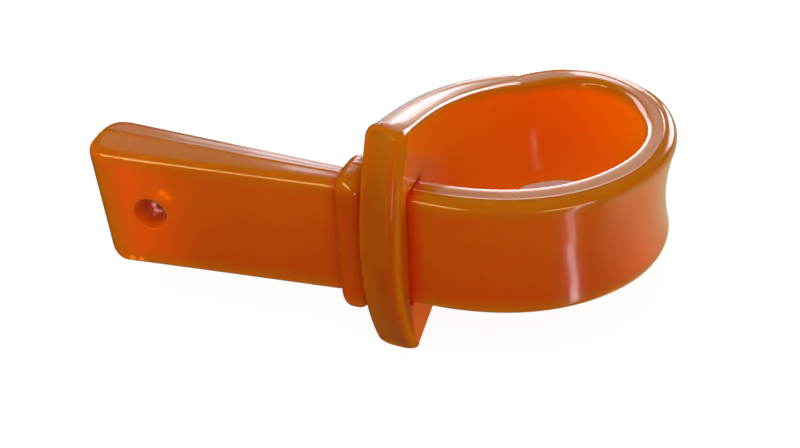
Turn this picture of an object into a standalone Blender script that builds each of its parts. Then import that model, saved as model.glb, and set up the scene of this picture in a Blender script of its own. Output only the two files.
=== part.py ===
"""One-piece strap clamp: a slotted head, a flexible band bent into a loop, a stop collar and a
wedge-shaped tail paddle.

Run with: blender --background --python part.py
Metres, +Z up. +X runs from the tail paddle towards the loop, and the strap passes through the
head's slot along X. While the pieces are modelled, the centre of the slot is at (0, 0, 0). At the
end everything is shifted together, so that the origin is the centre of the clamp's footprint, at
its lowest point.
"""
import math

import bmesh
import bpy
import numpy as np
from mathutils import Matrix, Vector

# ---------------------------------------------------------------- driving dimensions
BAND_H = 0.0250             # height of the strap, along Z
BAND_T = 0.0056             # thickness of the strap
RIM_FLARE = 0.0018          # a bent strap's rims stand out by this times curvature times BAND_H

SLOT_GAP = 0.00045          # play between the strap and the slot, on each side
FIT_GAP = 0.0003            # gap between neighbouring solids
FLEX_GAP = 0.0005           # gap at each bending line of the band
EDGE_ROUND = 0.0011         # rounding of the moulding's long edges

HEAD_T = 0.0074             # thickness of the slotted head plate at its end
HEAD_HALF_H = 0.0262        # half the height of the head plate at its end
HEAD_END_SAG = 0.0066       # how far the rounded end falls back at its top and bottom corners
HEAD_PLATE_L = 0.0215       # length of the slotted part of the head, along the plan line
HEAD_EDGE_ROUND = EDGE_ROUND * 1.2
FLARE_POWER = 1.1           # how the arm widens from the band to the head
SLOT_CUTTER_L = 0.03

# The plan line runs from the slot round the loop to the head's end.
LINE_L = 0.1528
LINE_STEPS = 1528           # steps in which the line's curvature is added up
# Curvature in 1/m at evenly spaced stations along the plan line
STATION_BENDS = (0, 19, 29, 34.5, 46, 55, 62.5, 44, 26, 15, 3.5, -11)
RUN_END = 0.01375           # where the strap's straight run ends and its bending part starts
ARM_START = 0.0991          # where the bending part ends and the head's arm starts
PLATE_START = LINE_L - HEAD_PLATE_L
SEGMENTS = 8

COLLAR_L = 0.0058           # stop collar, along X
COLLAR_HALF_Y = 0.0056
COLLAR_HALF_Z = 0.0158
COLLAR_ROUND = 0.0024
COLLAR_RIGHT = -HEAD_T / 2 - FIT_GAP    # the collar's +X side
COLLAR_LEFT = COLLAR_RIGHT - COLLAR_L

NECK_T = 0.0060             # thickness of the tail where it leaves the collar
KNUCKLE_R = NECK_T / 2      # half round at the neck's end
KNUCKLE_CUTS = 7
NECK_X = COLLAR_LEFT - FIT_GAP - KNUCKLE_R    # axis of the knuckle
TAIL_END_X = -0.0603        # free end of the paddle, at its top edge
TAIL_END_SLANT = 0.0016     # how much further in the free end is at its bottom edge
TAIL_END_T = 0.0130         # thickness of the paddle at its free end
TAIL_END_HALF_H = 0.0131
TAIL_NECK_HALF_H = 0.0125
TAIL_BOTTOM_CORNER = 0.0040     # rounding of the free end's corners, seen from the side
TAIL_TOP_CORNER = TAIL_BOTTOM_CORNER * 0.8
CORNER_POINTS = 5
TAIL_EDGE_ROUND = EDGE_ROUND * 1.1
HOLE_R = 0.0036
HOLE_FROM_END = 0.0119
HOLE_CUTTER_L = 0.04
HOLE_SIDES = 28

SAME_PLACE = 1e-7           # coordinates closer than this count as equal

AMBER = (0.80, 0.19, 0.015)
ROUGHNESS = 0.22


# ---------------------------------------------------------------- the plan line
STATION_STEP = LINE_L / (len(STATION_BENDS) - 1)


def station_slopes():
    """Slope of the curvature at each station, limited so that it never swings past a value."""
    rise = np.diff(np.array(STATION_BENDS, float)) / STATION_STEP
    slopes = np.zeros(len(STATION_BENDS))
    for i in range(1, len(rise)):
        if rise[i - 1] * rise[i] > 0:
            slopes[i] = 2 * rise[i - 1] * rise[i] / (rise[i - 1] + rise[i])
    if rise[0] * rise[1] > 0:
        slopes[0] = (3 * rise[0] - rise[1]) / 2
    slopes[0] = max(min(slopes[0], 3 * abs(rise[0])), 0)
    slopes[-1] = (3 * rise[-1] - rise[-2]) / 2
    return slopes


STATION_SLOPES = station_slopes()


def curvature(s):
    """Curvature at length s, as a piecewise cubic through the stations."""
    i = min(max(int(s / STATION_STEP), 0), len(STATION_BENDS) - 2)
    t = min(max(s / STATION_STEP - i, 0.0), 1.0)
    return (STATION_BENDS[i] * (1 + 2 * t) * (1 - t) ** 2
            + STATION_STEP * STATION_SLOPES[i] * t * (1 - t) ** 2
            + STATION_BENDS[i + 1] * t * t * (3 - 2 * t)
            - STATION_STEP * STATION_SLOPES[i + 1] * t * t * (1 - t))


LINE_STEP = LINE_L / LINE_STEPS


def integrate_line():
    """(x, y, heading) at even steps along the plan line, by adding up its curvature."""
    bends = [curvature(i * LINE_STEP) for i in range(LINE_STEPS + 1)]
    x = y = heading = 0.0
    line = [(x, y, heading)]
    for bend, next_bend in zip(bends, bends[1:]):
        turn = (bend + next_bend) / 2 * LINE_STEP
        x += math.cos(heading + turn / 2) * LINE_STEP
        y += math.sin(heading + turn / 2) * LINE_STEP
        heading += turn
        line.append((x, y, heading))
    return line


LINE = integrate_line()


def line_at(s):
    """(x, y, heading) at length s along the plan line. Negative s lies on the X axis."""
    if s <= 0:
        return s, 0.0, 0.0
    position = min(s / LINE_STEP, len(LINE) - 1)
    i = min(int(position), len(LINE) - 2)
    t = position - i
    return tuple(a * (1 - t) + b * t for a, b in zip(LINE[i], LINE[i + 1]))


def arm_share(s):
    """0 up to the start of the arm, rising evenly to 1 at the head's end."""
    return min(max((s - ARM_START) / (LINE_L - ARM_START), 0.0), 1.0)


def half_height(s):
    return BAND_H / 2 + (HEAD_HALF_H - BAND_H / 2) * arm_share(s) ** FLARE_POWER


def thickness(s):
    return BAND_T + (HEAD_T - BAND_T) * arm_share(s)


def bent_point(s, across, z):
    """The point at length s and height z, across thicknesses outside the plan line."""
    x, y, heading = line_at(s)
    out = thickness(s) * across
    if s > 0:
        out += RIM_FLARE * max(curvature(s), 0.0) * BAND_H * (z / half_height(s)) ** 2
    return Vector((x + math.sin(heading) * out, y - math.cos(heading) * out, z))


# ---------------------------------------------------------------- scene and helpers
def new_collection(name):
    collection = bpy.data.collections.new(name)
    bpy.context.scene.collection.children.link(collection)
    return collection


for old in list(bpy.data.objects):
    bpy.data.objects.remove(old)
clamp = new_collection("strap_clamp")
cutters = new_collection("cutters")


def amber(name, shade):
    """Glossy amber plastic, with its colour multiplied by shade."""
    material = bpy.data.materials.new(name)
    material.use_nodes = True
    colour = (*(channel * shade for channel in AMBER), 1)
    inputs = material.node_tree.nodes["Principled BSDF"].inputs
    inputs["Base Color"].default_value = colour
    inputs["Roughness"].default_value = ROUGHNESS
    inputs["Metallic"].default_value = 0.0
    material.diffuse_color = colour
    return material


def add_object(name, bm, shade=1.0, collection=clamp, origin=(0, 0, 0), sharp_deg=50):
    """Makes an object from a bmesh in clamp coordinates, with its origin at the point given."""
    bmesh.ops.recalc_face_normals(bm, faces=bm.faces)
    if bm.calc_volume(signed=True) < 0:
        bmesh.ops.reverse_faces(bm, faces=bm.faces)
    bmesh.ops.translate(bm, verts=bm.verts, vec=-Vector(origin))
    mesh = bpy.data.meshes.new(name)
    bm.to_mesh(mesh)
    bm.free()
    obj = bpy.data.objects.new(name, mesh)
    obj.location = origin
    mesh.materials.append(amber(name, shade))
    mesh.shade_smooth()
    mesh.set_sharp_from_angle(angle=math.radians(sharp_deg))
    collection.objects.link(obj)
    return obj


def round_edges(obj, width=EDGE_ROUND, segments=2, angle_deg=38):
    bevel = obj.modifiers.new("rounded_edges", "BEVEL")
    bevel.width = width
    bevel.segments = segments
    bevel.limit_method = "ANGLE"
    bevel.angle_limit = math.radians(angle_deg)
    bevel.harden_normals = False


def cut(obj, cutter_name, cutter_bm):
    """Makes a hidden cutter from the bmesh and takes it out of the object."""
    cutter = add_object(cutter_name, cutter_bm, collection=cutters)
    cutter.hide_render = True
    cutter.display_type = "WIRE"
    boolean = obj.modifiers.new("cut_" + cutter_name, "BOOLEAN")
    boolean.operation = "DIFFERENCE"
    boolean.object = cutter
    boolean.solver = "EXACT"


def box(size, centre_x=0.0):
    """A box centred on the X axis."""
    bm = bmesh.new()
    matrix = Matrix.Translation((centre_x, 0, 0)) @ Matrix.Diagonal((*size, 1))
    bmesh.ops.create_cube(bm, size=1.0, matrix=matrix)
    return bm


def gridded_cube(n_long, n_high):
    """A cube from 0 to 1 on each axis, in n_long slices along X and n_high along Z."""
    bm = bmesh.new()
    bmesh.ops.create_cube(bm, size=1.0, matrix=Matrix.Translation((0.5, 0.5, 0.5)))
    for axis, slices in (Vector((1, 0, 0)), n_long), (Vector((0, 0, 1)), n_high):
        for i in range(1, slices):
            bmesh.ops.bisect_plane(bm, geom=bm.verts[:] + bm.edges[:] + bm.faces[:],
                                   plane_co=axis * (i / slices), plane_no=axis)
    return bm


def bent_piece(name, start, end, n_long, n_high, shade,
               origin=(0, 0, 0), end_sag=0.0, edge_round=EDGE_ROUND):
    """The clamp's length from start to end, bent along the plan line.

    end_sag is how far the end falls back at its top and bottom corners.
    """
    bm = gridded_cube(n_long, n_high)
    for v in bm.verts:
        side = 2 * v.co.z - 1
        s = start + (end - start) * v.co.x
        sag = end_sag * v.co.x * side * side
        v.co = bent_point(s - sag, v.co.y - 0.5, side * half_height(s))
    obj = add_object(name, bm, shade, origin=origin)
    round_edges(obj, edge_round)
    return obj


# ---------------------------------------------------------------- the strap and the head
def build_band():
    """Short lengths of strap, numbered from the head's arm back towards the straight run."""
    pitch = (ARM_START - RUN_END) / SEGMENTS
    for i in range(SEGMENTS):
        # The end nearer the arm carries the bending line, where the object's origin lies.
        far = ARM_START - i * pitch
        x, y, _ = line_at(far)
        bent_piece(f"band_segment_{i + 1:02d}", far - pitch + FLEX_GAP / 2, far - FLEX_GAP / 2,
                   n_long=3, n_high=4, shade=0.94 if i % 2 else 1.0, origin=(x, y, 0))


def build_strap_run():
    """The straight run through the collar and the slot, and on to the first bending line."""
    bent_piece("strap_run", COLLAR_LEFT, RUN_END - FLEX_GAP / 2, n_long=6, n_high=2, shade=0.97)


def build_head():
    """The widening arm, and the plate with the slot through it."""
    bent_piece("head_arm", ARM_START + FLEX_GAP / 2, PLATE_START - FIT_GAP / 2,
               n_long=6, n_high=4, shade=0.98)
    plate = bent_piece("head_plate", PLATE_START + FIT_GAP / 2, LINE_L, n_long=5, n_high=10,
                       shade=0.9, end_sag=HEAD_END_SAG, edge_round=HEAD_EDGE_ROUND)
    slot = (SLOT_CUTTER_L, BAND_T + 2 * SLOT_GAP, BAND_H + 2 * SLOT_GAP)
    cut(plate, "slot_cutter", box(slot))


# ---------------------------------------------------------------- stop collar
def build_collar():
    """A bead round the strap."""
    centre_x = (COLLAR_LEFT + COLLAR_RIGHT) / 2
    bead = (COLLAR_L, 2 * COLLAR_HALF_Y, 2 * COLLAR_HALF_Z)
    collar = add_object("stop_collar", box(bead, centre_x), 0.86)
    round_edges(collar, COLLAR_ROUND, segments=3)
    opening = (COLLAR_L * 3, BAND_T + 2 * FIT_GAP, BAND_H + 2 * FIT_GAP)
    cut(collar, "collar_cutter", box(opening, centre_x))


# ---------------------------------------------------------------- tail paddle
def paddle_half_t(x):
    share = (NECK_X - x) / (NECK_X - TAIL_END_X)
    return NECK_T / 2 + (TAIL_END_T - NECK_T) / 2 * share


def corner_arc(end_x, radius, sign):
    """Points (x, z) from the long edge round to the free end; sign is 1 on top, -1 below."""
    x = end_x + radius
    z = sign * (TAIL_END_HALF_H - radius)
    return [(x - radius * math.sin(a), z + sign * radius * math.cos(a))
            for a in np.linspace(0, math.pi / 2, CORNER_POINTS)]


def side_outline():
    """Outline (x, z) of the paddle seen from the side, from the neck's top to its bottom."""
    top = corner_arc(TAIL_END_X, TAIL_TOP_CORNER, 1)
    bottom = corner_arc(TAIL_END_X + TAIL_END_SLANT, TAIL_BOTTOM_CORNER, -1)
    return [(NECK_X, TAIL_NECK_HALF_H), *top, *bottom[::-1], (NECK_X, -TAIL_NECK_HALF_H)]


def at_neck(v):
    return abs(v.co.x - NECK_X) < SAME_PLACE


def add_knuckle(bm):
    """Sweeps the neck's flat end face into a half round about the vertical line at NECK_X."""
    across = [e for e in bm.edges if all(at_neck(v) for v in e.verts)
              and abs(e.verts[0].co.z - e.verts[1].co.z) < SAME_PLACE]
    bmesh.ops.subdivide_edges(bm, edges=across, cuts=KNUCKLE_CUTS)
    for v in bm.verts:
        if at_neck(v) and abs(v.co.y) < KNUCKLE_R - SAME_PLACE:
            angle = math.pi / 2 * (v.co.y / KNUCKLE_R)
            v.co.x = NECK_X + KNUCKLE_R * math.cos(angle)
            v.co.y = KNUCKLE_R * math.sin(angle)


def build_paddle():
    """A wedge, thickest at its free end, with a knuckle at its neck and a hole through it."""
    bm = bmesh.new()
    face = bm.faces.new([bm.verts.new((x, -0.5, z)) for x, z in side_outline()])
    grown = bmesh.ops.extrude_face_region(bm, geom=[face])["geom"]
    grown_verts = [v for v in grown if isinstance(v, bmesh.types.BMVert)]
    bmesh.ops.translate(bm, verts=grown_verts, vec=(0, 1, 0))
    for v in bm.verts:
        v.co.y = math.copysign(paddle_half_t(v.co.x), v.co.y)
    add_knuckle(bm)
    bmesh.ops.triangulate(bm, faces=[f for f in bm.faces if len(f.verts) > 4])
    paddle = add_object("tail_paddle", bm, origin=(NECK_X, 0, 0), sharp_deg=40)
    round_edges(paddle, TAIL_EDGE_ROUND, angle_deg=50)

    hole = bmesh.new()
    along_y = Matrix.Rotation(math.pi / 2, 4, "X")
    bmesh.ops.create_cone(hole, cap_ends=True, cap_tris=False, segments=HOLE_SIDES,
                          radius1=HOLE_R, radius2=HOLE_R, depth=HOLE_CUTTER_L,
                          matrix=Matrix.Translation((TAIL_END_X + HOLE_FROM_END, 0, 0)) @ along_y)
    cut(paddle, "hole_cutter", hole)


# ---------------------------------------------------------------- final placing
def move_to_footprint():
    """Shifts everything so that the origin is the footprint's centre, at the lowest point."""
    bpy.context.view_layer.update()
    graph = bpy.context.evaluated_depsgraph_get()
    points = []
    for obj in clamp.objects:
        evaluated = obj.evaluated_get(graph)
        mesh = evaluated.to_mesh()
        points += [evaluated.matrix_world @ v.co for v in mesh.vertices]
        evaluated.to_mesh_clear()
    low = [min(p[i] for p in points) for i in range(3)]
    high = [max(p[i] for p in points) for i in range(3)]
    shift = Vector((-(low[0] + high[0]) / 2, -(low[1] + high[1]) / 2, -low[2]))
    for obj in list(clamp.objects) + list(cutters.objects):
        obj.location += shift
    bpy.context.view_layer.update()


build_band()
build_strap_run()
build_head()
build_collar()
build_paddle()
move_to_footprint()
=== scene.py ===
# The amber strap clamp: a slotted head, a bent band, and a stop collar with its tail paddle.
# The strap stands on edge, its height along Z. From the centre of the head's slot its plan line
# starts towards +X, loops round through +Y and comes back across the slot. The tail points to -X.
import math
import bmesh
import bpy
import numpy as np
from mathutils import Matrix, Vector


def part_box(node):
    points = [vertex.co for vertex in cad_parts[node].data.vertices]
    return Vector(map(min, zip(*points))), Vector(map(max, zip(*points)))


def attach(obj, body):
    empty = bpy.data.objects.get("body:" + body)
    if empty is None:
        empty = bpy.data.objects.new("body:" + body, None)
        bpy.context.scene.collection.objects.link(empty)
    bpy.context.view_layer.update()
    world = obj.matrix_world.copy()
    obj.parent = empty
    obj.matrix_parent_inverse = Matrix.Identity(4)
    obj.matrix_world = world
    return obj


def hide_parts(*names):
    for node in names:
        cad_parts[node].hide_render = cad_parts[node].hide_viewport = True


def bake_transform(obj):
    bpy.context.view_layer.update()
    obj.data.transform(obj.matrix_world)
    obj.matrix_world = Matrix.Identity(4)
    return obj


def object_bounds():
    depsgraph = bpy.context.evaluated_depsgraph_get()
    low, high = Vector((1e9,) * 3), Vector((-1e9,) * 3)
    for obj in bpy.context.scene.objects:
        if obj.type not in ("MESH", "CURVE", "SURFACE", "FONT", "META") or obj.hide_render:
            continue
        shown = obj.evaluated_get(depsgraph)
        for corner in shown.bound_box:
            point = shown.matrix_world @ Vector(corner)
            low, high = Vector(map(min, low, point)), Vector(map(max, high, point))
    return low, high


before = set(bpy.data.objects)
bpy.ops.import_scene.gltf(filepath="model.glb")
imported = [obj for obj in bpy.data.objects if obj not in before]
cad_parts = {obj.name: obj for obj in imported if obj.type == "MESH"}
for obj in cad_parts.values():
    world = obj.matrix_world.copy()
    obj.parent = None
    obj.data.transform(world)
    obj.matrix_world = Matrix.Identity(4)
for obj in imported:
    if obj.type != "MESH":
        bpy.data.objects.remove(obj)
cad_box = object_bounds()

MM = 0.001
SLOT_GAP = 4.0 * MM                 # from the collar's +X face to the slot's centre
collar_low, collar_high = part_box("stop_collar")
SLOT = Vector((collar_high.x + SLOT_GAP, (collar_low.y + collar_high.y) / 2,
               (collar_low.z + collar_high.z) / 2))
TAIL_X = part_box("tail_paddle")[0].x - SLOT.x


def from_slot(x=0.0, y=0.0, z=0.0):
    """World place of a point given from the slot's centre."""
    return (SLOT.x + x, SLOT.y + y, SLOT.z + z)


def smooth(start, end, x):
    """Eased step from 0 at start to 1 at end."""
    t = np.clip((x - start) / (end - start), 0, 1)
    return t * t * (3 - 2 * t)


# ---------------------------------------------------------------- plan line of the strap
BAND_H, BAND_T = 25.6 * MM, 6.4 * MM
HEAD_HALF_H, HEAD_T = 26.3 * MM, 8.3 * MM
SAG = 7.3 * MM                      # how far the lower corner of the head's end falls back
SAG_EASE = 1.8 * MM                 # how much less the upper corner does
LINE_L, ARM_START = 152.8 * MM, 99.1 * MM
# bend of the line in 1/m, at even steps along its length
BENDS = (0, 19, 29, 34.5, 46, 55, 62.5, 44, 26, 15, 3.5, -11)
LINE_STATIONS = 3057
RIM_FLARE = 1.55 * MM               # how far the rims stand out where the line bends


def bend_table():
    """Length, bend, heading, x and y along the line, from a monotone cubic through BENDS."""
    count = len(BENDS)
    gap = LINE_L / (count - 1)
    bends = np.array(BENDS, float)
    rate = np.diff(bends) / gap
    slope = np.zeros(count)
    for i in range(1, count - 1):
        if rate[i - 1] * rate[i] > 0:
            slope[i] = 2 * rate[i - 1] * rate[i] / (rate[i - 1] + rate[i])
    slope[0] = (3 * rate[0] - rate[1]) / 2
    slope[-1] = (3 * rate[-1] - rate[-2]) / 2
    length = np.linspace(0, LINE_L, LINE_STATIONS)
    i = np.clip((length / gap).astype(int), 0, count - 2)
    t = length / gap - i
    bend = (bends[i] * (1 + 2 * t) * (1 - t) ** 2 + gap * slope[i] * t * (1 - t) ** 2
            + bends[i + 1] * t * t * (3 - 2 * t) - gap * slope[i + 1] * t * t * (1 - t))
    step = length[1] - length[0]
    heading = np.concatenate([[0], np.cumsum((bend[1:] + bend[:-1]) / 2 * step)])
    middle = (heading[1:] + heading[:-1]) / 2
    x = np.concatenate([[0], np.cumsum(np.cos(middle) * step)])
    y = np.concatenate([[0], np.cumsum(np.sin(middle) * step)])
    return length, bend, heading, x, y


LINE_S, LINE_BEND, LINE_HEADING, LINE_X, LINE_Y = bend_table()


def flare(along, z, half_z):
    """How far a point stands out because of the flare of the rims."""
    bend = np.interp(along, LINE_S, LINE_BEND) * (along > 0)
    return RIM_FLARE * np.maximum(bend, 0) * BAND_H * (z / half_z) ** 2


def place(along, out, z, half_z):
    """Points at a length along the line, out from it, at height z, for a strap of half_z."""
    on_line = np.clip(along, 0, LINE_L)
    x = np.interp(on_line, LINE_S, LINE_X) + (along < 0) * along
    y = np.interp(on_line, LINE_S, LINE_Y)
    heading = np.interp(on_line, LINE_S, LINE_HEADING)
    out = out + flare(along, z, half_z)
    return np.stack([x + np.sin(heading) * out + SLOT.x,
                     y - np.cos(heading) * out + SLOT.y, z + SLOT.z], -1)


def arm_share(along):
    """0 where the arm starts, 1 at the head's end."""
    return np.clip((along - ARM_START) / (LINE_L - ARM_START), 0, 1)


def half_height(along):
    """Grows to its full size where the lower edge ends, short of the middle of the end."""
    share = np.clip((along - ARM_START) / (LINE_L - SAG - ARM_START), 0, 1)
    return BAND_H / 2 + (HEAD_HALF_H - BAND_H / 2) * share ** 1.02


def half_thick(along):
    return (BAND_T + (HEAD_T - BAND_T) * arm_share(along) ** 0.8) / 2


# ---------------------------------------------------------------- cross-section and meshes
OUTER_R, INNER_R, CROWN = 2.05 * MM, 0.75 * MM, 0.12 * MM
RIDGE_AT = 1.2 * MM                 # from the middle of the top, outwards
# parting ridge: offset outwards, share of the ridge's height
RIDGE = ((0.32 * MM, 0.0), (0.14 * MM, 0.7), (0.0, 1.0), (-0.14 * MM, 0.7), (-0.32 * MM, 0.0))
ARC_STEPS = 8
EDGE_ROWS, SLOT_ROWS = 9, 20        # rows above or below the slot's margin, and across it
ROWS = 2 * EDGE_ROWS + SLOT_ROWS


def section(half_n, half_z, outer_r, inner_r, crown, rows=ROWS, ridge=0.10 * MM,
            ridge_at=RIDGE_AT, tilt=0.0):
    """Ring of (out, z): outer face upwards, top, inner face downwards, bottom."""
    lean = math.atan2(2 * crown, half_n - (outer_r + inner_r) / 2)
    outer_n = half_n - outer_r * (1 - math.sin(lean))
    inner_n = -(half_n - inner_r * (1 - math.sin(lean)))
    middle, reach = (outer_n + inner_n) / 2, (outer_n - inner_n) / 2

    def top_z(out):
        return half_z - crown * ((out - middle) / reach) ** 2 - tilt * (out - middle)

    outer_z = top_z(outer_n) - outer_r * math.cos(lean)
    inner_z = top_z(inner_n) - inner_r * math.cos(lean)
    angles = np.linspace(0, math.pi / 2 - lean, ARC_STEPS + 1)[1:]
    outer_arc = [(half_n - outer_r + outer_r * math.cos(t), outer_z + outer_r * math.sin(t))
                 for t in angles]
    inner_arc = [(-(half_n - inner_r + inner_r * math.cos(t)), inner_z + inner_r * math.sin(t))
                 for t in angles[::-1]]
    profile = [(middle + ridge_at + offset, share) for offset, share in RIDGE]
    ridge_start, ridge_end = profile[0][0], profile[-1][0]
    quarters = (0.25, 0.5, 0.75)
    profile = ([(outer_n + (ridge_start - outer_n) * t, 0.0) for t in quarters] + profile
               + [(ridge_end + (inner_n - ridge_end) * t, 0.0) for t in quarters])
    upper = outer_arc + [(out, top_z(out) + ridge * share) for out, share in profile] + inner_arc
    outer = [(half_n, z) for z in np.linspace(-outer_z, outer_z, rows + 1)]
    inner = [(-half_n, z) for z in np.linspace(inner_z, -inner_z, rows + 1)]
    lower = [(out, -z) for out, z in upper[::-1]]
    return np.array(outer + upper + inner + lower)


def sunk(ring, depth):
    """The section ring moved inwards along its own normals."""
    tangent = np.roll(ring, -1, 0) - np.roll(ring, 1, 0)
    normal = np.stack([tangent[:, 1], -tangent[:, 0]], -1)
    return ring - depth * normal / np.linalg.norm(normal, axis=1)[:, None]


def make_mesh(name, verts, faces):
    mesh = bpy.data.meshes.new(name)
    mesh.from_pydata([tuple(v) for v in verts], [], faces)
    mesh.validate()
    bm = bmesh.new()
    bm.from_mesh(mesh)
    bmesh.ops.remove_doubles(bm, verts=bm.verts, dist=1e-7)
    bmesh.ops.recalc_face_normals(bm, faces=bm.faces)
    if bm.calc_volume(signed=True) < 0:
        bmesh.ops.reverse_faces(bm, faces=bm.faces)
    bm.to_mesh(mesh)
    bm.free()
    mesh.shade_smooth()
    ob = bpy.data.objects.new(name, mesh)
    bpy.context.scene.collection.objects.link(ob)
    return ob


def bridge(first, second):
    """Quads between two closed loops of vertex indices."""
    count = len(first)
    return [(first[i], first[(i + 1) % count], second[(i + 1) % count], second[i])
            for i in range(count)]


def ring_indices(i, size):
    return range(i * size, (i + 1) * size)


def loft(name, rings):
    size = len(rings[0])
    faces = []
    for i in range(len(rings) - 1):
        faces += bridge(ring_indices(i, size), ring_indices(i + 1, size))
    faces.append(tuple(range(size))[::-1])
    faces.append(tuple(ring_indices(len(rings) - 1, size)))
    return make_mesh(name, np.concatenate(rings), faces)


# ---------------------------------------------------------------- the band
# It runs from inside the collar, through the slot and round the loop, into the head's arm.
HIDE = 0.012 * MM                   # how deep band and arm run on under each other's skin


def arm_section(along, half_z):
    share = arm_share(along)
    return section(half_thick(along), half_z, OUTER_R + 0.35 * MM * share,
                   INNER_R + 0.45 * MM * share, CROWN + 0.30 * MM * share)


def rim(along):
    """Shape of the band's rims: softest round the bow, tilted on the way back from it."""
    bow = smooth(43 * MM, 62 * MM, along) * (1 - smooth(76 * MM, 91 * MM, along))
    lean = smooth(70 * MM, 77 * MM, along) * (1 - smooth(86.5 * MM, 91 * MM, along))
    rear = smooth(86 * MM, 92 * MM, along)
    return dict(outer_r=OUTER_R + 0.85 * MM * bow, inner_r=INNER_R + 0.40 * MM * bow,
                crown=CROWN * (1 - 0.6 * lean), tilt=0.092 * lean,
                ridge_at=RIDGE_AT - 0.85 * MM * bow,
                ridge=(0.065 + 0.02 * bow + 0.035 * rear) * MM)


def build_band():
    rings = []
    for along in np.concatenate([np.linspace(-6.0, -1.0, 9)[:-1] * MM,
                                 np.arange(-1.0, 99.1, 0.45) * MM, [ARM_START]]):
        ring = section(BAND_T / 2, BAND_H / 2, **rim(along))
        rings.append(place(along, ring[:, 0], ring[:, 1], BAND_H / 2))
    for along in np.arange(99.7, 106.2, 0.6) * MM:
        half_z = half_height(along)
        ring = sunk(arm_section(along, half_z), HIDE)
        rings.append(place(along, ring[:, 0], ring[:, 1], half_z))
    return loft("band_loop", rings)


# ---------------------------------------------------------------- the slotted head and its arm
# length along the line where it comes back across the slot
SLOT_S = LINE_S[np.where((LINE_Y[:-1] > 0) & (LINE_Y[1:] <= 0)
                         & (LINE_S[:-1] > LINE_L / 2))[0][-1]]
SLOT_HALF_S, SLOT_HALF_Z, SLOT_R = 3.5 * MM, 13.0 * MM, 1.4 * MM
LIP = 0.45 * MM                     # rounding of the slot's rim
MARGIN_S = SLOT_HALF_S + LIP + 0.35 * MM
MARGIN_Z = SLOT_HALF_Z + LIP + 0.6 * MM
END_R = 1.6 * MM
PLATE_START, BLEND_L = 128.0 * MM, 11 * MM
ARM_STATIONS = np.concatenate([np.arange(92.5, 98.6, 0.6) * MM, [ARM_START],
                               np.arange(99.7, 127.9, 0.6) * MM])
BEFORE_STEPS, SLOT_STEPS, AFTER_STEPS = 14, 8, 4


def head_end(z, half_z):
    """Length along the line where the rounded end lies at height z."""
    return LINE_L - np.where(z > 0, SAG - SAG_EASE, SAG) * (z / half_z) ** 2


def head_line(share, z):
    """Length at height z of a cross line of the plate.

    Shares 0 to 1 lead up to the slot's margin, 1 to 2 over the slot, 2 to 3 on to the end.
    """
    beyond = np.clip((np.abs(z) - MARGIN_Z) / (HEAD_HALF_H - MARGIN_Z), 0, 1)
    before = SLOT_S - MARGIN_S - 3.0 * MM * beyond ** 1.5
    end = head_end(z, HEAD_HALF_H) - END_R
    after = np.minimum(SLOT_S + MARGIN_S - 5.6 * MM * beyond ** 1.4, end - 0.8 * MM)
    if share <= 1:
        return PLATE_START + (before - PLATE_START) * share
    if share <= 2:
        return before + (after - before) * (share - 1)
    return after + (end - after) * (share - 2)


def head_section(along, half_z, slot_share):
    """Section whose rows slide from even spacing in the arm to the slot's margin."""
    ring = arm_section(along, half_z)
    for first, turn in ((0, 1), (len(ring) // 2, -1)):
        top = abs(ring[first, 1])
        even = np.linspace(-top, top, ROWS + 1)
        fitted = np.concatenate([np.linspace(-top, -MARGIN_Z, EDGE_ROWS + 1),
                                 np.linspace(-MARGIN_Z, MARGIN_Z, SLOT_ROWS + 1)[1:-1],
                                 np.linspace(MARGIN_Z, top, EDGE_ROWS + 1)])
        rows = even * (1 - slot_share) + fitted * slot_share
        ring[first:first + ROWS + 1, 1] = rows * turn
    return ring


def head_rings():
    rings = []
    for along in ARM_STATIONS:
        half_z = half_height(along)
        slot_share = np.clip((along - (PLATE_START - BLEND_L)) / BLEND_L, 0, 1)
        ring = head_section(along, half_z, slot_share)
        if along < ARM_START:
            ring = sunk(ring, HIDE)
        rings.append(place(along, ring[:, 0], ring[:, 1], half_z))
    shares = [*np.linspace(0, 1, BEFORE_STEPS + 1), *1 + np.linspace(0, 1, SLOT_STEPS + 1)[1:],
              *2 + np.linspace(0, 1, AFTER_STEPS + 1)[1:]]
    for share in shares:
        # the height at the top of a cross line depends on how far back the line falls there
        half_z = HEAD_HALF_H
        for _ in range(8):
            half_z = half_height(head_line(share, half_z))
        out, z = head_section(head_line(share, 0.0), half_z, 1.0).T
        # the upper corner reaches further forward on the inner side
        reach = max(share - 2, 0) * 1.0 * MM
        along = head_line(share, z) + reach * (-out / out.max()) * np.clip(z / half_z, 0, 1) ** 2
        rings.append(place(along, out, z, half_z))
    # rounding to the end face, eased more on the inner side
    end_half = half_thick(LINE_L)
    for angle in np.linspace(0, math.pi / 2, 7)[1:]:
        inset = END_R * (1 - math.cos(angle))
        end_out = out * np.where(out < 0, 1 - 1.75 * inset / end_half, 1 - inset / end_half)
        end_z = z * (1 - 0.5 * inset * (1 - math.cos(angle)) / half_z)
        rings.append(place(along + END_R * math.sin(angle), end_out, end_z, half_z))
    return rings


def end_faces(verts, last, size):
    """Faces over the head's end, in three steps across its thickness; adds to verts."""
    half = size // 2
    columns = []
    for j in range(ROWS + 1):
        outer, inner = last + j, last + half + ROWS - j
        column = [outer]
        for share in (1 / 3, 2 / 3):
            verts.append(verts[outer] * (1 - share) + verts[inner] * share)
            column.append(len(verts) - 1)
        columns.append(column + [inner])
    faces = [(low[t], low[t + 1], high[t + 1], high[t])
             for low, high in zip(columns, columns[1:]) for t in range(3)]
    # the strips inside the top and bottom corner arcs
    faces.append((*range(last + ROWS, last + half + 1), *columns[-1][2:0:-1]))
    faces.append((*range(last + half + ROWS, last + size), last, *columns[0][1:-1]))
    return faces


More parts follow.
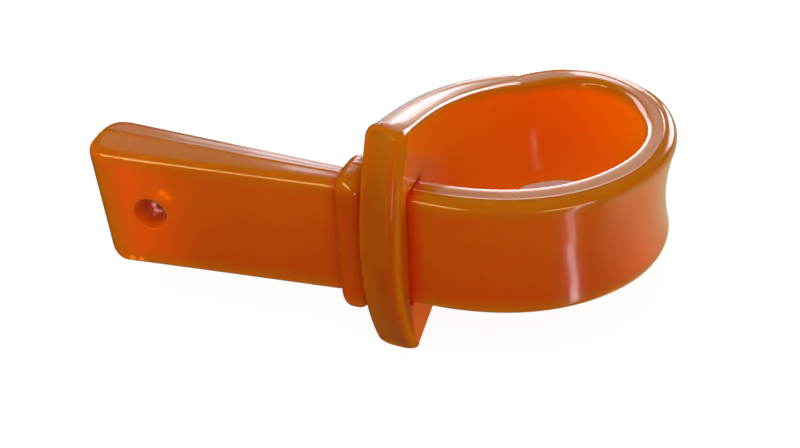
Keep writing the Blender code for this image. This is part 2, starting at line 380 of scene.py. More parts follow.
def slot_point(inset, along, z):
    """A point of the slot's margin pulled in to the rounded outline, inset from the lip's rim."""
    flat_s, flat_z = SLOT_HALF_S - SLOT_R, SLOT_HALF_Z - SLOT_R
    radius = SLOT_R + LIP - inset
    new_s = along * (flat_s + radius) / MARGIN_S
    new_z = z * (flat_z + radius) / MARGIN_Z
    if abs(new_s) > flat_s and abs(new_z) > flat_z:
        past_s, past_z = abs(new_s) - flat_s, abs(new_z) - flat_z
        far = math.hypot(past_s, past_z)
        return (math.copysign(flat_s + radius * past_s / far, along),
                math.copysign(flat_z + radius * past_z / far, z))
    return new_s, new_z


def slot_faces(verts, size, first):
    """Margin, lip and wall of the slot, whose margin starts at ring first; adds to verts."""
    last = first + SLOT_STEPS
    low, high = EDGE_ROWS, EDGE_ROWS + SLOT_ROWS
    path = ([(first, j) for j in range(low, high)] + [(i, high) for i in range(first, last)]
            + [(last, j) for j in range(high, low, -1)] + [(i, low) for i in range(last, first, -1)])
    margin_z = np.linspace(-MARGIN_Z, MARGIN_Z, SLOT_ROWS + 1)
    margin = []
    for i, j in path:
        z = margin_z[j - low]
        margin.append((head_line(1 + (i - first) / SLOT_STEPS, z) - SLOT_S, z))
    # inset and depth of each loop: the rounded lip, then the start of the wall
    profile = [(LIP * math.sin(t), LIP * (1 - math.cos(t))) for t in np.linspace(0, math.pi / 2, 6)]
    profile.append((LIP, LIP + 0.6 * MM))
    faces, walls = [], []
    for side in (1, -1):
        loop = [i * size + (j if side > 0 else size // 2 + ROWS - j) for i, j in path]
        for inset, depth in profile:
            start = len(verts)
            for point in margin:
                offset, z = slot_point(inset, *point)
                along = SLOT_S + offset
                verts.append(place(along, side * (half_thick(along) - depth), z,
                                   half_height(along)))
            next_loop = range(start, len(verts))
            quads = bridge(loop, next_loop)
            faces += quads if side > 0 else [quad[:1] + quad[:0:-1] for quad in quads]
            loop = next_loop
        walls.append(loop)
    return faces + bridge(*walls)


def build_head():
    rings = head_rings()
    size = len(rings[0])
    verts = list(np.concatenate(rings))
    first = len(ARM_STATIONS) + BEFORE_STEPS
    faces = []
    for i in range(len(rings) - 1):
        quads = bridge(ring_indices(i, size), ring_indices(i + 1, size))
        for j, quad in enumerate(quads):
            over_slot = EDGE_ROWS <= j % (size // 2) < EDGE_ROWS + SLOT_ROWS
            if not (first <= i < first + SLOT_STEPS and over_slot):
                faces.append(quad)
    faces.append(tuple(range(size))[::-1])
    faces += end_faces(verts, (len(rings) - 1) * size, size)
    faces += slot_faces(verts, size, first)
    return make_mesh("slotted_head", verts, faces)


# ---------------------------------------------------------------- the stop collar and tail paddle
# x is counted from the slot's centre; _Y and _Z are half sizes
COLLAR_L, COLLAR_Y, COLLAR_Z, COLLAR_R = 5.8 * MM, 5.6 * MM, 15.7 * MM, 2.3 * MM
COLLAR_EDGE_R = 3.2 * MM
NECK_Y, NECK_Z, NECK_EDGE_R = 3.45 * MM, 13.0 * MM, 1.6 * MM
NECK_SHIFT_Y, TAIL_SHIFT_Z = 0.4 * MM, -0.2 * MM
END_Y, END_Z, END_EDGE_R = 6.8 * MM, 13.7 * MM, 2.0 * MM
COLLAR_HIGH_X = -SLOT_GAP
COLLAR_LOW_X = COLLAR_HIGH_X - COLLAR_L
NECK_X = COLLAR_LOW_X - 0.9 * MM
END_X = TAIL_X - 0.85 * MM
SLANT = 1.7 * MM                    # how much further +X the end's lower corner lies
ROUND_X, ROUND_Y, ROUND_Z, ROUND_TOP = 4.2 * MM, 3.4 * MM, 4.0 * MM, 1.0 * MM  # paddle's end
HOLE_X, HOLE_R = END_X + 12.5 * MM, 3.55 * MM
TAIL_CROWN = CROWN * 2


def paddle_share(x):
    """0 at the neck, 1 at the paddle's end."""
    return (NECK_X - x) / (NECK_X - END_X)


def paddle_size(x):
    share = paddle_share(x)
    return NECK_Y + (END_Y - NECK_Y) * share, NECK_Z + (END_Z - NECK_Z) * share


def tail_ring(x, half_y, half_z, outer_r, crown=TAIL_CROWN, shift_y=0.0, shift_z=0.0,
              inner_r=None):
    """Section of the tail, its outer side towards -Y."""
    ring = section(half_y, half_z, outer_r, outer_r if inner_r is None else inner_r, crown,
                   rows=6, ridge_at=-0.10 * half_y)
    slant = SLANT * np.clip(paddle_share(x), 0, 1) ** 3
    x = x + slant * (END_Z - (ring[:, 1] + shift_z)) / (2 * END_Z)
    return np.stack([x + SLOT.x, shift_y - ring[:, 0] + SLOT.y,
                     shift_z + ring[:, 1] + SLOT.z], -1)


def collar_ring(x, inset, drop):
    return tail_ring(x, COLLAR_Y - inset, COLLAR_Z - inset * drop, COLLAR_EDGE_R - inset * 0.4)


def tail_rings():
    rings = []
    quarter = np.linspace(0, math.pi / 2, 8)
    for t in quarter:
        rings.append(collar_ring(COLLAR_HIGH_X - COLLAR_R * (1 - math.cos(t)),
                                 COLLAR_R * (1 - math.sin(t)), drop=1.15))
    for t in quarter:
        rings.append(collar_ring(COLLAR_LOW_X + COLLAR_R * (1 - math.sin(t)),
                                 COLLAR_R * (1 - math.cos(t)), drop=1.3))
    # fillet from the collar to the neck
    low_y, low_z = COLLAR_Y - COLLAR_R, COLLAR_Z - COLLAR_R * 1.3
    low_r = COLLAR_EDGE_R - COLLAR_R * 0.4
    for t in np.linspace(0, math.pi / 2, 7)[1:]:
        share = math.sin(t) * 0.45 + (1 - math.cos(t)) * 0.55
        eased = 1 - (1 - share) ** 1.6
        rings.append(tail_ring(COLLAR_LOW_X - (COLLAR_LOW_X - NECK_X) * math.sin(t),
                               low_y + (NECK_Y - low_y) * eased, low_z + (NECK_Z - low_z) * eased,
                               low_r + (NECK_EDGE_R - low_r) * share,
                               shift_y=NECK_SHIFT_Y * share, shift_z=TAIL_SHIFT_Z * share))
    # the paddle, with no ring near the hole
    for x in (*np.linspace(NECK_X, HOLE_X + 6.5 * MM, 12)[1:],
              *np.linspace(HOLE_X - 6.2 * MM, END_X + ROUND_X, 3)):
        share = paddle_share(x)
        rings.append(tail_ring(x, *paddle_size(x), NECK_EDGE_R + (END_EDGE_R - NECK_EDGE_R) * share,
                               CROWN * (2 + 2 * share), shift_y=NECK_SHIFT_Y * (1 - share),
                               shift_z=TAIL_SHIFT_Z))
    # its rounded end: the top corner is tight, the bottom one is full
    for t in np.linspace(0, math.pi / 2, 9)[1:]:
        x = END_X + ROUND_X * (1 - math.sin(t))
        half_y, half_z = paddle_size(x)
        share = 1 - math.cos(t)
        top, bottom = ROUND_TOP * share ** 1.6, ROUND_Z * share
        rings.append(tail_ring(x, half_y - ROUND_Y * share, half_z - (top + bottom) / 2,
                               END_EDGE_R - 0.4 * MM * share, CROWN * 4 * (1 - share),
                               shift_z=TAIL_SHIFT_Z + (bottom - top) / 2,
                               inner_r=END_EDGE_R + 0.8 * MM * share))
    # the slightly bulging end face
    last = rings[-1]
    centre = last.mean(0)
    for share in (0.75, 0.5, 0.25):
        ring = centre + (last - centre) * share
        ring[:, 0] -= 0.45 * MM * (1 - share * share)
        rings.append(ring)
    return rings


def drilled(ob):
    """Mesh of the tail with the hole through the paddle along Y, its rims rounded."""
    bm = bmesh.new()
    turn = Matrix.Rotation(math.pi / 2, 4, "X")
    bmesh.ops.create_cone(bm, cap_ends=True, segments=56, radius1=HOLE_R, radius2=HOLE_R,
                          depth=40 * MM, matrix=Matrix.Translation(from_slot(HOLE_X)) @ turn)
    mesh = bpy.data.meshes.new("hole_cutter")
    bm.to_mesh(mesh)
    bm.free()
    cutter = bpy.data.objects.new("hole_cutter", mesh)
    bpy.context.scene.collection.objects.link(cutter)
    hole = ob.modifiers.new("hole", "BOOLEAN")
    hole.operation = "DIFFERENCE"
    hole.object = cutter
    hole.solver = "EXACT"
    bevel = ob.modifiers.new("rim", "BEVEL")
    bevel.width = 0.9 * MM
    bevel.segments = 6
    bevel.limit_method = "ANGLE"
    bevel.angle_limit = math.radians(60)
    bevel.use_clamp_overlap = True
    graph = bpy.context.evaluated_depsgraph_get()
    mesh = bpy.data.meshes.new_from_object(ob.evaluated_get(graph))
    bpy.data.objects.remove(cutter)
    ob.modifiers.clear()
    return mesh


def cut(bm, at, normal):
    bmesh.ops.bisect_plane(bm, geom=bm.verts[:] + bm.edges[:] + bm.faces[:], dist=1e-7,
                           plane_co=at, plane_no=normal)


def build_tail():
    ob = loft("collar_and_paddle", tail_rings())
    mesh = drilled(ob)
    # extra cuts give the paddle points enough to carry the shading guides
    bm = bmesh.new()
    bm.from_mesh(mesh)
    for x in np.arange(TAIL_X + 3 * MM, NECK_X, 1.5 * MM):
        cut(bm, (x + SLOT.x, 0, 0), (1, 0, 0))
    for z in np.arange(-12, 12.1, 1.5) * MM:
        cut(bm, (0, 0, z + SLOT.z), (0, 0, 1))
    bm.to_mesh(mesh)
    bm.free()
    mesh.shade_smooth()
    ob.data = mesh
    return ob


band = build_band()
head = build_head()
tail = build_tail()


# ---------------------------------------------------------------- shading guides on the points
def put(ob, guides):
    for name, values in guides.items():
        attribute = ob.data.attributes.new(name, "FLOAT", "POINT")
        attribute.data.foreach_set("value", np.asarray(values, np.float32))


def coords(ob):
    """Points of the mesh, from the slot's centre."""
    flat = np.zeros(len(ob.data.vertices) * 3, np.float32)
    ob.data.vertices.foreach_get("co", flat)
    return flat.reshape(-1, 3).astype(float) - np.array(SLOT)


def line_coords(points, low, high):
    """Length along and offset out of each point, at its nearest station from low to high."""
    keep = (LINE_S >= low) & (LINE_S <= high)
    length, line_x, line_y, heading = (
        column[keep][::4] for column in (LINE_S, LINE_X, LINE_Y, LINE_HEADING))
    along, out = np.zeros(len(points)), np.zeros(len(points))
    chunk = 4000
    for i in range(0, len(points), chunk):
        x, y = points[i:i + chunk, :2].T
        near = ((x[:, None] - line_x) ** 2 + (y[:, None] - line_y) ** 2).argmin(1)
        along[i:i + chunk] = length[near]
        out[i:i + chunk] = ((x - line_x[near]) * np.sin(heading[near])
                            - (y - line_y[near]) * np.cos(heading[near]))
    return along, out


def guide_strap(ob, low, high):
    points = coords(ob)
    x, z = points[:, 0], points[:, 2]
    along, out = line_coords(points, low, high)
    half_z, half_n = half_height(along), half_thick(along)
    out = out - flare(along, z, half_z)
    from_end = head_end(z, half_z) - along
    from_edge = half_z - np.abs(z)
    if ob is head:
        from_edge = np.minimum(from_edge, from_end * 0.9 + 2.6 * MM)
    # painted light: an olive tint along the rims, weaker on the lower inner edge
    edge = 1 - smooth(0.3 * MM, np.where(out < -0.5 * half_n, 2.8 * MM, 4.5 * MM), from_edge)
    edge = edge * np.where((z < 0) & (out < 0), 0.35, 1.0)
    plate = smooth(131 * MM, 141 * MM, along)
    inner = smooth(-0.2, 0.8, -out / half_n)
    # painted shade: dark red on the band beside the slot, and on the head over the slot's opening and
    # walls
    if ob is band:
        deep = (along < 20 * MM) * smooth(2.2 * MM, 3.8 * MM, x) * (1 - smooth(3.0 * MM, 7.6 * MM, x))
    else:
        deep = ((np.abs(z) < SLOT_HALF_Z + 0.3 * MM)
                & (np.abs(along - SLOT_S) < SLOT_HALF_S + 0.3 * MM)) * 1.0
        at_end = smooth(1.9 * MM, 0.9 * MM, from_end)
        past_slot = smooth(SLOT_S + 1.5 * MM, SLOT_S + 4 * MM, along)
        inner = inner * (1 - at_end) * (1 - 0.8 * past_slot * (1 - smooth(9 * MM, 15 * MM, z)))
        # painted light on the sides of the head's rounded end as well
        edge = np.maximum(edge, 0.8 * at_end * smooth(0.55, 0.95, np.abs(out) / half_n))
    put(ob, {
        "g_crevice_shade": deep,
        "g_seam": (np.abs(along - ARM_START) < 11 * MM) * 1.0,
        "g_up": (z / half_z) * 0.5 + 0.5,
        "g_lit_edge": edge,
        "g_head": plate * (1 - inner),
        # painted light: the inner faces lit through the wall
        "g_lit_inner": inner,
        "g_shade": smooth(70 * MM, 100 * MM, along) * inner,
        # painted light: the plate's upper outer side lighter
        "g_lit_top": smooth(0.35, 0.95, z / half_z) * plate * (1 - inner),
        "g_dull": (smooth(0.3, 0.9, -out / half_n)
                   * (1 - smooth(1.2 * MM, 0.5 * MM, half_z - np.abs(z)))),
    })
    if ob is band:
        put(ob, {"g_glow": smooth(36 * MM, 47 * MM, x) * (out > 0) * 0.8})


def guide_tail():
    points = coords(tail)
    x, z = points[:, 0], points[:, 2]
    half_z = paddle_size(np.clip(x, END_X, NECK_X))[1]
    end_x = SLANT * np.clip((END_Z - z) / (2 * END_Z), 0, 1)
    on_collar = x > NECK_X
    from_edge = np.minimum(half_z - np.abs(z), (x - end_x - END_X) * 0.55)
    from_edge = np.where(on_collar, COLLAR_Z - np.abs(z), from_edge)
    put(tail, {
        # painted light: an olive tint along the rims of the paddle and collar
        "g_lit_edge": (1 - smooth(0.3 * MM, 5.0 * MM, from_edge)) * 0.85,
        # painted shade on the collar's face towards the head and in the crease at the neck
        "g_crevice_shade": np.where(on_collar, 1 - smooth(0, 1.6 * MM, COLLAR_HIGH_X - x),
                           (1 - smooth(0, 2.2 * MM, NECK_X + 0.6 * MM - x)) * 0.6) * 0.6,
        "g_up": z / half_z * 0.5 + 0.5,
        # painted glow on the wall of the hole
        "g_hole": (np.hypot(x - HOLE_X, z) < HOLE_R + 0.07 * MM) * 1.0,
        "g_collar": smooth(NECK_X - 1.0 * MM, NECK_X + 0.8 * MM, x),
        "g_glow": 1 - smooth(END_X + 2 * MM, END_X + 26 * MM, x),
    })


guide_strap(band, 0.0, ARM_START + 8 * MM)
guide_strap(head, ARM_START - 8 * MM, LINE_L)
guide_tail()


# ---------------------------------------------------------------- node trees
class Graph:
    """Short calls for building one shader node tree."""

    def __init__(self, tree):
        self.tree = tree

    def feed(self, node, inputs):
        """Gives each input a value, or links it to another node's output."""
        for key, value in inputs.items():
            socket = node.inputs[key]
            if isinstance(value, bpy.types.NodeSocket):
                self.tree.links.new(value, socket)
            else:
                socket.default_value = (*value, 1) if socket.type == "RGBA" else value

    def node(self, kind, inputs={}, **settings):
        node = self.tree.nodes.new("ShaderNode" + kind)
        for key, value in settings.items():
            setattr(node, key, value)
        self.feed(node, inputs)
        return node

    def calc(self, operation, first, second):
        return self.node("Math", {0: first, 1: second}, operation=operation).outputs[0]

    def vector(self, operation, *inputs, output=0):
        return self.node("VectorMath", dict(enumerate(inputs)), operation=operation).outputs[output]

    def scaled(self, vector, scale):
        return self.node("VectorMath", {0: vector, "Scale": scale}, operation="SCALE").outputs[0]

    def mix(self, share, first, second):
        """Mixes two colours; 6 and 7 are the node's colour inputs."""
        return self.node("Mix", {0: share, 6: first, 7: second}, data_type="RGBA").outputs[2]

    def span(self, value, start=0.0, end=1.0, to=(0.0, 1.0), ease="LINEAR"):
        return self.node("MapRange", {"Value": value, "From Min": start, "From Max": end,
                                      "To Min": to[0], "To Max": to[1]},
                         interpolation_type=ease).outputs[0]


def new_material(name):
    """An empty material: itself, its graph and its output node."""
    material = bpy.data.materials.new(name)
    material.use_nodes = True
    material.node_tree.nodes.clear()
    graph = Graph(material.node_tree)
    return material, graph, graph.node("OutputMaterial")


# ---------------------------------------------------------------- hazy amber urethane
def tinted(colour, factors):
    return tuple(c * f for c, f in zip(colour, factors))


BODY = (0.59, 0.103, 0.0004)
BODY_CLOUD = tinted(BODY, (1.07, 1.28, 1.0))
# painted shade: the body colour darker towards the bottom
BODY_SHADED_LOW = tinted(BODY, (0.90, 0.74, 1.0))
# painted light: the loop's inner wall lit through from outside
INNER_LIT = (0.875, 0.188, 0.0008)
# colours laid over the body in turn, each where its guide is high; most are painted light and shade:
# glow, the inner wall lit through, shade on it, the plate's lit top, lit rims, crevice shade and the
# hole's glow
LAYERS = (("g_glow", (0.85, 0.133, 0.0008)), ("g_lit_inner", INNER_LIT),
          ("g_shade", tinted(INNER_LIT, (0.915, 0.80, 1.0))), ("g_head", (0.41, 0.058, 0.0004)),
          ("g_lit_top", (0.56, 0.150, 0.0006)), ("g_collar", (0.49, 0.078, 0.0004)),
          ("g_lit_edge", (0.46, 0.165, 0.0006)), ("g_crevice_shade", (0.75, 0.030, 0.0002)),
          ("g_hole", (0.68, 0.125, 0.0006)))
# painted glints in the tail, drawn as emission: place from the slot's centre and radius in mm, colour
PAINTED_GLINTS = (((-54.3, -6.4, -11.75), 1.15, (0.60, 0.12, 0.0)),
         ((-52.3, -6.2, -11.8), 0.95, (0.55, 0.11, 0.0)),
         ((-51.3, 0.0, -2.4), 0.9, (0.55, 0.20, 0.22)),
         ((-50.4, -0.7, -3.0), 0.9, (0.60, 0.22, 0.24)),
         ((-49.7, -0.3, -3.3), 0.6, (0.40, 0.14, 0.15)),
         ((-50.3, -2.0, -3.2), 0.5, (0.30, 0.11, 0.12)),
         ((-45.3, -5.6, 5.5), 1.3, (0.30, 0.06, 0.0)),
         ((-44.3, -5.6, 4.5), 1.1, (0.26, 0.05, 0.0)),
         ((-45.3, -5.6, 4.8), 3.4, (0.09, 0.018, 0.0)))


def add_painted_glints(graph, generated, total):
    """Adds the tail's painted glints to the emission total."""
    points = np.array([v.co for v in tail.data.vertices])
    low, high = points.min(0), points.max(0)
    glint_place = graph.vector("MULTIPLY", generated, tuple(high - low))
    for at, radius, colour in PAINTED_GLINTS:
        at = np.array(at) * MM + np.array(SLOT)
        gap = graph.vector("SUBTRACT", glint_place, tuple(at - low))
        far = graph.vector("LENGTH", gap, output="Value")
        near = graph.span(far, radius * MM, 0.0, ease="SMOOTHSTEP")
        total = graph.vector("ADD", total, graph.scaled(colour, near))
    return total


def urethane(name, with_painted_glints=False):
    material, graph, output = new_material(name)
    skin = graph.node("BsdfPrincipled")
    texture_place = graph.node("TexCoord").outputs
    calc = graph.calc

    def guide(name):
        return graph.node("Attribute", attribute_name=name).outputs["Fac"]

    def noise(scale, detail, roughness, distortion=0.0):
        return graph.node("TexNoise", {
            "Vector": texture_place["Object"], "Scale": scale, "Detail": detail,
            "Roughness": roughness, "Distortion": distortion}).outputs["Fac"]

    def ramp(share, *stops):
        """Ramp between two grey stops of (position, level)."""
        node = graph.node("ValToRGB", {0: share})
        for element, (position, level) in zip(node.color_ramp.elements, stops):
            element.position = position
            element.color = (level, level, level, 1)
        return node.outputs[0]

    def bump(strength, distance, height):
        return graph.node("Bump", {"Strength": strength, "Distance": distance,
                                   "Height": height}).outputs[0]

    # where arm and band run on under each other, light from within passes the covering skin
    inside = graph.node("NewGeometry").outputs["Backfacing"]
    clear = graph.node("BsdfTransparent").outputs[0]
    surface = graph.node("MixShader", {0: calc("MULTIPLY", inside, guide("g_seam")),
                                       1: skin.outputs[0], 2: clear})
    graph.feed(output, {"Surface": surface.outputs[0]})

    # slow, faint clouds, painted shade on the lower side, then the layers
    cloud = noise(scale=45, detail=3, roughness=0.55, distortion=0.4)
    colour = graph.mix(ramp(cloud, (0.3, 0), (0.7, 1)), BODY, BODY_CLOUD)
    colour = graph.mix(ramp(guide("g_up"), (0.0, 1), (0.75, 0)), colour, BODY_SHADED_LOW)
    for name, layer in LAYERS:
        colour = graph.mix(guide(name), colour, layer)

    # painted glow: light soaking through the paddle, painted as emission on the wall of its hole and
    # in the painted glints
    glow = graph.scaled((1.0, 0.10, 0.0), calc("MULTIPLY", guide("g_hole"), 0.020))
    if with_painted_glints:
        glow = add_painted_glints(graph, texture_place["Generated"], glow)

    # rubbed patches vary the gloss, and the inside of the loop is duller than the outside
    rub = noise(scale=260, detail=5, roughness=0.6)
    bright = calc("SUBTRACT", 1.0, calc("MULTIPLY", guide("g_dull"), 0.80))
    ripple = noise(scale=120, detail=2, roughness=0.5, distortion=0.6)
    fine = noise(scale=1500, detail=3, roughness=0.6)
    height = calc("ADD", ripple, calc("MULTIPLY", fine, 0.12))
    graph.feed(skin, {
        "Base Color": colour,
        "Emission Color": glow,
        "Emission Strength": 1.0,
        "IOR": 1.5,
        "Subsurface Weight": 1.0,
        "Subsurface Radius": (1.0, 0.22, 0.03),
        "Subsurface Scale": 0.006,
        "Subsurface Anisotropy": 0.5,
        "Roughness": calc("ADD", calc("MULTIPLY", rub, 0.14), 0.10),
        "Coat Weight": calc("MULTIPLY", bright, 0.6),
        "Specular IOR Level": calc("MULTIPLY", bright, 0.5),
        "Coat Roughness": 0.06,
        "Coat IOR": 1.5,
        "Normal": bump(strength=0.35, distance=0.00012, height=height),
        "Coat Normal": bump(strength=0.22, distance=0.0001, height=ripple),
    })
    return material


band.data.materials.clear()
band.data.materials.append(urethane("amber_band"))
head.data.materials.clear()
head.data.materials.append(urethane("amber_head"))
tail.data.materials.clear()
tail.data.materials.append(urethane("amber_tail", with_painted_glints=True))

# ---------------------------------------------------------------- what each piece stands for
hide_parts(*["band_segment_%02d" % i for i in range(1, 9)], "strap_run")
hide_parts("head_plate", "head_arm")
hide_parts("stop_collar", "tail_paddle")
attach(head, "head")
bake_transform(band)
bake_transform(tail)

# ---------------------------------------------------------------- camera
CAMERA_TILT, CAMERA_ROLL, CAMERA_HEADING = 0.632, -0.046, -0.364    # radians
SLOT_IN_VIEW = Vector((-0.00115, 0.0028, 0.263975))     # right, down and forward of the camera
LENS, SENSOR = 62.7435, 36                              # mm


def turn_z(angle):
    cosine, sine = math.cos(angle), math.sin(angle)
    return Matrix(((cosine, -sine, 0), (sine, cosine, 0), (0, 0, 1)))


cos_tilt, sin_tilt = math.cos(CAMERA_TILT), math.sin(CAMERA_TILT)
tilt = Matrix(((1, 0, 0), (0, -sin_tilt, -cos_tilt), (0, cos_tilt, -sin_tilt)))
view = turn_z(CAMERA_ROLL) @ tilt @ turn_z(CAMERA_HEADING)
right, down, forward = view
camera_at = -(view.transposed() @ SLOT_IN_VIEW) + SLOT
camera_data = bpy.data.cameras.new("camera")
camera_data.lens = LENS
camera_data.sensor_width = SENSOR
camera_data.clip_start = 0.01
camera = bpy.data.objects.new("camera", camera_data)
bpy.context.scene.collection.objects.link(camera)
turn = Matrix((right, -down, -forward)).transposed()
camera.matrix_world = Matrix.Translation(camera_at) @ turn.to_4x4()
bpy.context.scene.camera = camera

# ---------------------------------------------------------------- floor
# how bright the floor is to the camera, to diffuse rays and to glossy rays
FLOOR_CAMERA, FLOOR_DIFFUSE, FLOOR_GLOSSY = 0.90, 0.60, 0.0
FLOOR_DROP = 0.2 * MM
# painted shadow: amber light thrown through the clamp onto the floor
PAINTED_SHADOW_AT = (SLOT.x + 15.5 * MM, SLOT.y + 62 * MM, 0)    # amber patch seen behind the loop
PAINTED_SHADOW_SIZE = (9.5 * MM, 7 * MM, 1)


def glowing_floor():
    """A pale light table: it glows evenly, so the clamp's shadow stays faint."""
    material, graph, output = new_material("pale_floor")
    diffuse = graph.node("BsdfDiffuse", {0: (0.16, 0.16, 0.158)})
    # the painted amber shadow shows only along the line of sight that passes under the far wall
    ground = graph.node("NewGeometry").outputs
    offset = graph.vector("SUBTRACT", ground["Position"], PAINTED_SHADOW_AT)
    far = graph.vector("LENGTH", graph.vector("DIVIDE", offset, PAINTED_SHADOW_SIZE), output="Value")
    inside = graph.span(far, 1.15, 0.75)
    sight = (camera_at - Vector(PAINTED_SHADOW_AT)).normalized()
    facing = graph.span(graph.vector("DOT_PRODUCT", ground["Incoming"], sight, output="Value"),
                        0.985, 0.995)
    tint = graph.mix(graph.calc("MULTIPLY", inside, facing), (1.0, 1.0, 0.992), (0.42, 0.13, 0.09))
    rays = graph.node("LightPath").outputs
    unseen = graph.span(rays["Is Glossy Ray"], to=(FLOOR_DIFFUSE, FLOOR_GLOSSY))
    strength = graph.span(rays["Is Camera Ray"], to=(unseen, FLOOR_CAMERA))
    glow = graph.node("Emission", {0: tint, 1: strength})
    both = graph.node("AddShader", {0: diffuse.outputs[0], 1: glow.outputs[0]})
    graph.feed(output, {"Surface": both.outputs[0]})
    return material


bm = bmesh.new()
bmesh.ops.create_grid(bm, x_segments=2, y_segments=2, size=4.0)
floor_mesh = bpy.data.meshes.new("floor")
bm.to_mesh(floor_mesh)
bm.free()
floor = bpy.data.objects.new("floor", floor_mesh)
floor.location = (0, 0, cad_box[0][2] - FLOOR_DROP)
floor.data.materials.append(glowing_floor())
bpy.context.scene.collection.objects.link(floor)
floor.visible_glossy = False
floor.visible_shadow = False


# ---------------------------------------------------------------- the room
def soft_room():
    """Even pale light for the body; for reflections, dark with a slightly paler floor."""
    world = bpy.data.worlds.new("soft_room")
    bpy.context.scene.world = world
    world.use_nodes = True
    graph = Graph(world.node_tree)
    direction = graph.node("TexCoord").outputs["Generated"]
    downward = graph.vector("DOT_PRODUCT", direction, (0, 0, -1), output="Value")
    below = graph.calc("MULTIPLY", graph.span(downward, 0.6, 1.0, ease="SMOOTHSTEP"), 0.10)
    shine = graph.calc("ADD", below, 0.004)
    glossy = graph.node("LightPath").outputs["Is Glossy Ray"]
    # 2 and 3 are the mix node's number inputs
    strength = graph.node("Mix", {0: glossy, 2: 0.72, 3: shine}, data_type="FLOAT").outputs[0]
    tone = graph.mix(glossy, (1.0, 0.98, 0.97), (1.0, 0.92, 0.22))
    graph.feed(world.node_tree.nodes["Background"], {0: tone, 1: strength})


soft_room()

# ---------------------------------------------------------------- lights
# They are placed by the direction they come from, in the camera's own heading.
centre = Vector(from_slot(-5 * MM, 10 * MM))
neck = Vector((-9.5 * MM, -22 * MM, 38.6 * MM))
bow = Vector(from_slot(33.1 * MM, 5 * MM, -4 * MM))
ahead = Vector((forward.x, forward.y, 0)).normalized()
side = Vector((right.x, right.y, 0)).normalized()
PANEL_DISTANCE = 0.9


def from_direction(azimuth, elevation, distance):
    """Azimuth 0 is behind the camera, 90 is the camera's right."""
    azimuth, elevation = math.radians(azimuth), math.radians(elevation)
    level = -ahead * math.cos(azimuth) + side * math.sin(azimuth)
    return (centre + level * math.cos(elevation) * distance
            + Vector((0, 0, math.sin(elevation) * distance)))


def lights_only(name, *obs):
    """Options for a panel that lights only these objects."""
    receivers = bpy.data.collections.new(name)
    for ob in obs:
        receivers.objects.link(ob)
    return {"only": receivers}


def panel(name, azimuth, elevation, wide, tall, radiance, colour, spin=0.0, diffuse=False,
          glossy=True, distance=PANEL_DISTANCE, about=centre, only=None):
    """A soft panel given by the angles it fills in degrees; most make only highlights."""
    at = about + (from_direction(azimuth, elevation, distance) - centre)
    light = bpy.data.lights.new(name, "AREA")
    light.shape = "RECTANGLE"
    size_x = 2 * distance * math.tan(math.radians(wide / 2))
    size_y = 2 * distance * math.tan(math.radians(tall / 2))
    light.size = size_x
    light.size_y = size_y
    light.energy = radiance * math.pi * size_x * size_y
    light.color = colour
    ob = bpy.data.objects.new(name, light)
    ob.location = at
    aim = (about - at).to_track_quat("-Z", "Y").to_matrix()
    ob.rotation_euler = (aim @ Matrix.Rotation(math.radians(spin), 3, "Z")).to_euler()
    bpy.context.scene.collection.objects.link(ob)
    ob.visible_diffuse = diffuse
    ob.visible_glossy = glossy
    ob.visible_camera = False
    if only is not None:
        ob.light_linking.receiver_collection = only


def stepped(k):
    """Panels that add up to a soft edge are each a little nearer, so that none hides another."""
    return {"distance": PANEL_DISTANCE - 0.02 * k}


BAND = lights_only("lights_the_band", band)
HEAD = lights_only("lights_the_head", head)
TAIL = lights_only("lights_the_tail", tail)
NOT_HEAD = lights_only("lights_band_and_tail", band, tail)
ALL = {}
AT_BOW = {"about": bow}
WHITE, LILAC, PINK = (1, 1, 1), (0.94, 0.93, 1.0), (1.0, 0.80, 0.80)
AMBER, MAUVE, ROSE = (1.0, 0.68, 0.22), (0.62, 0.80, 1.0), (1.0, 0.88, 0.95)
ORCHID, LIME = (1.0, 0.84, 0.94), (0.92, 1.0, 0.58)
PALE_LEFT, PALE_RIGHT = 68, 192     # azimuths the widest pale floor panel reaches
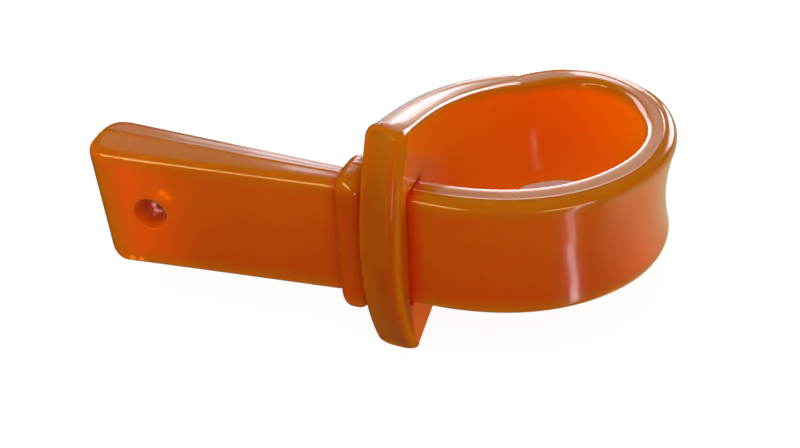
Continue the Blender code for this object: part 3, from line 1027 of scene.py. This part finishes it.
# name, azimuth, elevation, width and height in degrees, radiance, colour, options
PANELS = [
    ("key_top", -25, 62, 36, 30, 3.0, WHITE, {"diffuse": True, "glossy": False}),
    ("back_low_window", 173, 11.4, 20, 7.6, 1.0, PINK, ALL),
    ("back_low_sill", 171, 2.6, 26, 9.2, 3.4, LILAC, ALL),
    ("arm_side_window", 151, 12, 15, 20, 4.0, LILAC, HEAD),
    ("arm_far_window", -176, -11, 26, 15, 0.8, LILAC, HEAD),
    ("back_mid_panel", 170, 21, 28, 11, 0.8, PINK, ALL),
    ("back_high_window", 174, 36, 24, 18, 0.62, ORCHID, ALL),
    ("bow_rim_panel", 168, 33, 9, 12, 0.50, MAUVE, BAND),
    ("back_side_panel", -168, 22, 14, 16, 0.45, PINK, ALL),
    ("paddle_top_panel", -165, 42, 20, 24, 0.42, PINK, TAIL),
    ("paddle_neck_panel", -174, 45, 8, 7, 0.5, LILAC, TAIL),
    ("paddle_far_panel", -176, 19, 9, 9, 1.7, MAUVE, TAIL),
    ("paddle_far_bright", -178.6, 19, 5.4, 8, 2.3, MAUVE, TAIL),
    ("paddle_neck_near", -173, 43, 9, 7, 3.2, MAUVE, {"distance": 0.06, "about": neck, **TAIL}),
    ("back_band_window", -171, -3, 42, 44, 5.0, LILAC, BAND),
    ("back_band_high", 180, 18, 40, 17, 3.5, LILAC, BAND),
    ("left_band_window", -137, 22, 26, 60, 6.0, LILAC, BAND),
    ("right_window", 138, 17, 26, 22, 6, LILAC, ALL),
    *[("right_pale_floor_%d" % k, (PALE_LEFT + 6 * k + PALE_RIGHT) / 2, -36,
       PALE_RIGHT - PALE_LEFT - 6 * k, 64, 0.076, LIME, {**stepped(k), **BAND}) for k in range(7)],
    ("front_gap_low", 38, -20, 4.2, 14, 6, ROSE, AT_BOW),
    ("front_gap_mid", 40, -34, 4.2, 14, 3.6, ROSE, AT_BOW),
    ("front_gap_high", 43, -48, 4.2, 14, 1.8, ROSE, AT_BOW),
    ("front_left_bar", -41, 29, 54, 6, 9.0, AMBER, {"spin": -42, **NOT_HEAD}),
    ("front_lamp", 27, -9, 21, 7, 9, AMBER, NOT_HEAD),
    ("front_gap_top", 44, -9, 6, 6, 10, LILAC, BAND),
    *[("head_haze_%d" % k, 138, -34, 22 - 6 * k, 20 - 6 * k, 0.05, PINK,
       {**stepped(k), **HEAD}) for k in range(3)],
    ("head_bar", -43, 31, 20, 5, 8.0, AMBER, HEAD),
    ("head_strip", -10, -14, 8, 12, 4.0, PINK, HEAD),
]
for *values, options in PANELS:
    panel(*values, **options)

bpy.context.scene.view_settings.view_transform = "Standard"
bpy.context.scene.view_settings.look = "None"
